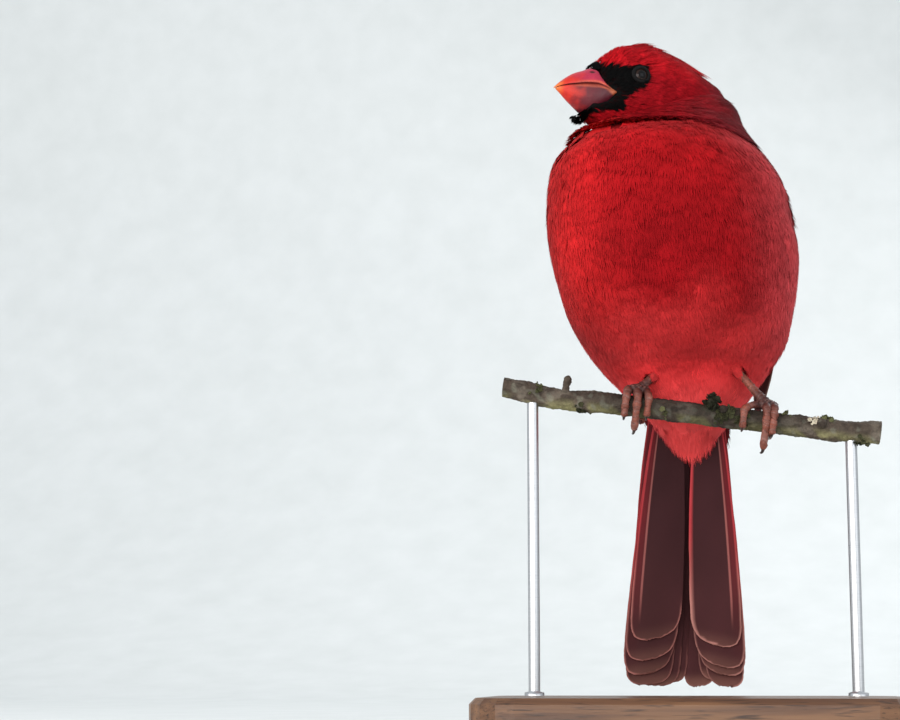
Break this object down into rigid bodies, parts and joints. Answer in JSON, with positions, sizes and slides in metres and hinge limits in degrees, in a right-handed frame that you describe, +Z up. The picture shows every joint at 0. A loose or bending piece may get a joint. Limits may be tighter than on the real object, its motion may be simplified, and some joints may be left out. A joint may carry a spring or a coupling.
{
  "type": "northern cardinal",
  "caption": "Life-size male northern cardinal, fluffed up on a cut branch perch held by a plain display stand, head turned to its right and crest laid flat",
  "frame": {"origin": "middle of the display base's underside, on the surface it rests on", "axes": "+Z up, -Y the way the bird's breast faces, +X the bird's left; the branch runs along X"},
  "size_m": [0.144, 0.112, 0.2379],
  "materials": {
    "breast_feathers": "soft matt feathers",
    "head_feathers": "soft matt feathers, black mask round the bill",
    "back_feathers": "soft matt feathers with greyish edges",
    "undertail_feathers": "soft matt feathers",
    "wing_feathers": "firm satin flight feathers with red edges",
    "tail_feathers": "firm satin tail feathers, maroon-brown with red edges",
    "bill_horn": "smooth satin horn, coral red",
    "eye_dark": "wet gloss, dark brown",
    "leg_scales": "satin scaly skin, brown-pink",
    "claw_horn": "satin dark horn",
    "bark": "rough bark with lichen",
    "stand_wood": "satin varnished wood",
    "stand_steel": "brushed rod"
  },
  "bodies": {
    "root": {"bill_lower": "bill_horn", "bill_upper": "bill_horn", "claw_left_hind": "claw_horn", "claw_left_inner": "claw_horn", "claw_left_middle": "claw_horn", "claw_left_outer": "claw_horn", "claw_right_hind": "claw_horn", "claw_right_inner": "claw_horn", "claw_right_middle": "claw_horn", "claw_right_outer": "claw_horn", "crest": "head_feathers", "eye_left": "eye_dark", "eye_right": "eye_dark", "head": "head_feathers", "neck": "head_feathers", "perch_branch": "bark", "stand_base": "stand_wood", "stand_rod_left": "stand_steel", "stand_rod_right": "stand_steel", "tail": "tail_feathers", "tarsus_left": "leg_scales", "tarsus_right": "leg_scales", "thigh_left": "breast_feathers", "thigh_right": "breast_feathers", "toe_left_hind": "leg_scales", "toe_left_inner": "leg_scales", "toe_left_middle": "leg_scales", "toe_left_outer": "leg_scales", "toe_right_hind": "leg_scales", "toe_right_inner": "leg_scales", "toe_right_middle": "leg_scales", "toe_right_outer": "leg_scales", "torso": "breast_feathers", "undertail_coverts": "undertail_feathers", "uppertail_coverts": "back_feathers", "wing_left": "wing_feathers", "wing_right": "wing_feathers"}
  },
  "joints": []
}
